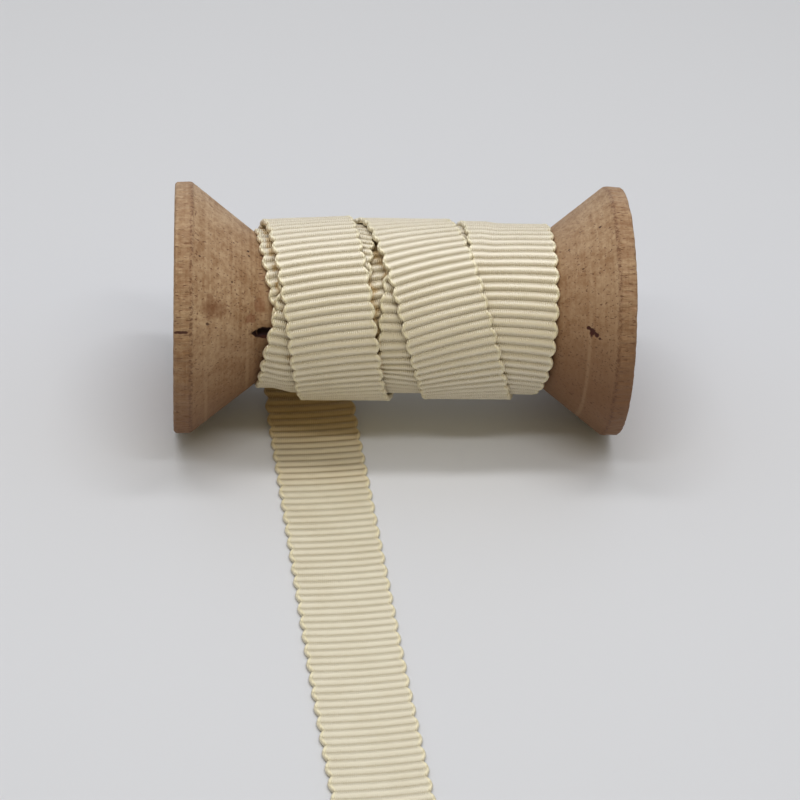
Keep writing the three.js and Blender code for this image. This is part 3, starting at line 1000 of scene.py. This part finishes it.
@dataclass
class Spool:
    """The spool, turned in one piece with its bore, as a fine mesh in place of the frame's plain one."""

    sizes: SpoolSizes
    sides: int = 360
    cone_steps: int = 44
    tool_marks: float = 0.03
    cone_rough: float = 0.02
    rim_rough: float = 0.14
    end_nicks: float = 0.12
    nicks_round: float = 16.0
    end_seeds: tuple[float, float] = (3.3, 7.7)

    def profile(self) -> np.ndarray:
        """Closed outline of the turned section, as places along the spool and radii."""
        s = self.sizes
        bend = np.radians(np.linspace(0, 90, 6))
        round_x = s.half_length - s.rim_rounding * (1 - np.sin(bend))
        round_r = s.flange_radius - s.rim_rounding * (1 - np.cos(bend))
        right = [(x, s.core_radius) for x in np.linspace(0, s.cone_foot_x, 9)[1:]]
        for share in np.linspace(0, 1, self.cone_steps + 1)[1:]:
            x = s.cone_foot_x + (s.rim_x - s.cone_foot_x) * share
            right.append((x, float(s.wood_radius(np.array(x)))))
        rim = np.linspace(s.rim_x, s.half_length - s.rim_rounding, 9)[1:-1]
        right += [(x, s.flange_radius) for x in rim]
        right += list(zip(round_x, round_r))
        lip = s.bore_radius + s.bore_chamfer
        right += [(s.half_length, r) for r in np.linspace(s.flange_radius - s.rim_rounding, lip, 24)[1:]]
        right += [(s.half_length - s.bore_chamfer, s.bore_radius)]
        right += [(x, s.bore_radius) for x in np.linspace(s.half_length - s.bore_chamfer, 0, 8)[1:-1]]
        left = [(-x, r) for x, r in reversed(right)]
        return np.array([(0, s.core_radius), *right, (0, s.bore_radius), *left])

    def worn_radius(self, x: np.ndarray, radius: np.ndarray, turn: np.ndarray) -> np.ndarray:
        """Radii with tool marks and the sunken faults, on the faces that a chisel cut.

        Args:
            x: places along the spool.
            radius: true radii there.
            turn: turn angles in degrees.

        Returns:
            The radii as they are on the worn piece.
        """
        s = self.sizes
        shallow = np.array([
            noise.noise(Vector((float(a) * 3.1, float(b), 0.5)))
            for a, b in zip(x, radius)
        ])
        around = [Vector((0, 1.3 * math.cos(a), 1.3 * math.sin(a))) for a in np.radians(turn)]
        torn = np.array([
            [noise.noise(Vector((0.7 * a, 0, 0)) + float(b) * v) for v in around]
            for a, b in zip(x, radius)
        ])
        rough = np.where(np.abs(x) > s.rim_x, self.rim_rough, self.cone_rough)[:, None]
        worn = radius[:, None] + (shallow[:, None] - 0.5) * self.tool_marks + torn * rough
        for mark in MARKS:
            if mark.depth:
                off = np.radians((turn - mark.turn + 180) % 360 - 180)[None, :] * radius[:, None]
                far = np.hypot((x[:, None] - mark.x) / mark.along, off / mark.around)
                worn = worn - mark.depth * smooth_step(1.0, 0.55, far)
        outside = (radius > s.core_radius - 0.5)[:, None] & (np.abs(x) < s.half_length - 0.01)[:, None]
        return np.where(outside, worn, radius[:, None])

    def nicked(self, x: np.ndarray, radius: np.ndarray, turn: np.ndarray) -> np.ndarray:
        """Places along the spool with the chips along the outer edge of its two ends.

        Args:
            x: places of the outline's points.
            radius: their radii.
            turn: turn angles in degrees.

        Returns:
            The places at each point and turn.
        """
        s = self.sizes
        at_edge = smooth_step(s.flange_radius - 2, s.flange_radius - s.rim_rounding, radius)
        at_edge = at_edge * (np.abs(x) > s.half_length - s.rim_rounding)
        ring = [(math.cos(a) * self.nicks_round, math.sin(a) * self.nicks_round) for a in np.radians(turn)]
        chips = np.array([[noise.noise(Vector((end, *place))) for place in ring] for end in self.end_seeds])
        chips = np.maximum(chips[(x > 0).astype(int)], 0)
        return x[:, None] - np.sign(x)[:, None] * at_edge[:, None] * self.end_nicks * chips

    def build(self) -> bpy.types.Object:
        """Turns the mesh, dresses it and puts it in place of the plain node."""
        s = self.sizes
        profile = self.profile()
        turn = np.arange(self.sides) * 360 / self.sides
        radius = self.worn_radius(profile[:, 0], profile[:, 1], turn)
        angle = np.radians(turn)[None, :]
        x = self.nicked(profile[:, 0], profile[:, 1], turn)
        y = s.axis_y - radius * np.cos(angle)
        z = np.maximum(s.axis_z + radius * np.sin(angle), 0)
        points = np.stack([x, y, z], axis=-1).reshape(-1, 3) * MM
        rows, columns = radius.shape
        faces = []
        for i in range(rows):
            for j in range(columns):
                a, b = i * columns + j, i * columns + (j + 1) % columns
                over = columns if i + 1 < rows else columns - rows * columns
                faces.append((a, a + over, b + over, b))
        piece = mesh_object("turned_spool", points, faces)
        piece.data.materials.append(WoodFinish(s).material())
        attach(piece, "root")
        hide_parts("spool_bobbin")
        LOG.info("turned_spool: %d faces", len(faces))
        return piece


@dataclass(frozen=True)
class Strip:
    """A long soft light over the spool, lying along it."""

    name: str
    turn: float
    power: float
    width: float
    length: float = 0.36
    distance: float = 0.42


@dataclass
class Studio:
    """The pale floor, the soft lights and the camera."""

    spool: SpoolSizes
    floor_grey: tuple[float, float, float, float] = (0.685, 0.695, 0.73, 1)
    floor_cloud: tuple[float, float, float, float] = (0.6, 0.6, 0.6, 1)
    floor_half: float = 3.0
    strips: tuple[Strip, ...] = (
        Strip("front_strip", turn=68.5, power=0.46, width=0.035),
        Strip("back_strip", turn=96, power=0.62, width=0.045),
    )
    room_back: tuple[float, float, float, float] = (0.55, 0.56, 0.58, 1)
    room_front: tuple[float, float, float, float] = (0.48, 0.42, 0.265, 1)
    room_turn: float = 63.0
    room_softness: float = 0.08
    lid_low: float = 0.1
    lid_high: float = 0.9
    lid_gloss: float = 2.6
    camera_place: tuple[float, float, float] = (-0.0313, -0.3020, 0.2799)
    camera_yaw: float = 5.46
    camera_pitch: float = 39.13
    camera_roll: float = 3.80
    camera_lens: float = 123.04
    camera_sensor: float = 36.0
    display_gamma: float = 0.86

    def lay_floor(self) -> None:
        """A plain pale floor that isn't part of the object."""
        h = self.floor_half
        corners = np.array([(-h, -h, 0), (h, -h, 0), (h, h, 0), (-h, h, 0)])
        floor = mesh_object("floor", corners, [(0, 1, 2, 3)])
        r = Recipe.of_material("pale_floor")
        where = r.add("TexCoord").outputs["Object"]
        shade = r.between(r.grain(where, 6, 3), 0.3, 0.7, 0, 0.03)
        colour = r.blend(shade, self.floor_grey, self.floor_cloud)
        shader = r.add("BsdfPrincipled", {"Base Color": colour, "Roughness": 0.75, "Specular IOR Level": 0.2})
        floor.data.materials.append(r.finish(shader))

    def hang_lights(self) -> None:
        """Two strips over the spool and a dim pale room round it."""
        centre = Vector((0, self.spool.axis_y, self.spool.axis_z)) * MM
        for strip in self.strips:
            data = bpy.data.lights.new(strip.name, "AREA")
            data.shape = "RECTANGLE"
            data.size = strip.length
            data.size_y = strip.width
            data.energy = strip.power
            lamp = bpy.data.objects.new(strip.name, data)
            angle = math.radians(strip.turn)
            lamp.location = centre + strip.distance * Vector((0, -math.cos(angle), math.sin(angle)))
            lamp.rotation_euler = (math.radians(strip.turn - 90) * -1, 0, 0)
            lamp.visible_glossy = False
            bpy.context.scene.collection.objects.link(lamp)
        self.paint_room()

    def paint_room(self) -> None:
        """World light of a light box: its open front, its pale back, and its bright lid in the gloss."""
        world = bpy.data.worlds.new("room")
        bpy.context.scene.world = world
        r = Recipe(world)
        direction = r.add("TexCoord").outputs["Generated"]
        edge = math.radians(self.room_turn)
        inwards = {0: direction, 1: (0, math.sin(edge), math.cos(edge))}
        behind = r.add("VectorMath", inwards, operation="DOT_PRODUCT").outputs["Value"]
        box = r.between(behind, -self.room_softness, self.room_softness)
        lid = r.between(r.add("SeparateXYZ", {0: direction}).outputs[2], self.lid_low, self.lid_high)
        gloss = r.sum("MULTIPLY", r.sum("MULTIPLY", box, lid), r.add("LightPath").outputs["Is Glossy Ray"])
        strength = r.sum("MULTIPLY_ADD", gloss, self.lid_gloss, 1.0)
        colour = r.blend(box, self.room_front, self.room_back)
        r.finish(r.add("Background", {0: colour, 1: strength}), "OutputWorld")

    def set_camera(self) -> None:
        """The camera at the photograph's place and angle."""
        yaw, pitch, roll = (math.radians(v) for v in (self.camera_yaw, self.camera_pitch, self.camera_roll))
        ahead = Vector((math.sin(yaw) * math.cos(pitch), math.cos(yaw) * math.cos(pitch), -math.sin(pitch)))
        level = Vector((math.cos(yaw), -math.sin(yaw), 0))
        up = level.cross(ahead)
        right = math.cos(roll) * level + math.sin(roll) * up
        over = -math.sin(roll) * level + math.cos(roll) * up
        data = bpy.data.cameras.new("camera")
        data.lens = self.camera_lens
        data.sensor_width = self.camera_sensor
        data.clip_start = 0.01
        camera = bpy.data.objects.new("camera", data)
        axes = Matrix((right, over, -ahead)).transposed().to_4x4()
        camera.matrix_world = Matrix.Translation(self.camera_place) @ axes
        bpy.context.scene.collection.objects.link(camera)
        bpy.context.scene.camera = camera

    def build(self) -> None:
        """Sets the whole studio up."""
        self.set_camera()
        self.lay_floor()
        self.hang_lights()
        bpy.context.scene.view_settings.view_transform = "Standard"
        bpy.context.scene.view_settings.gamma = self.display_gamma


def main() -> None:
    """Builds the studio, the spool and the ribbon, in that order."""
    logging.basicConfig(level=logging.INFO, format="%(name)s: %(message)s")
    sizes = SpoolSizes.from_node("spool_bobbin")
    Studio(sizes).build()
    Spool(sizes).build()
    weave = Weave()
    route = Route(sizes, weave, Winding(sizes, weave), Leaving())
    Ribbon(weave, route).build()


if __name__ == "__main__":
    main()
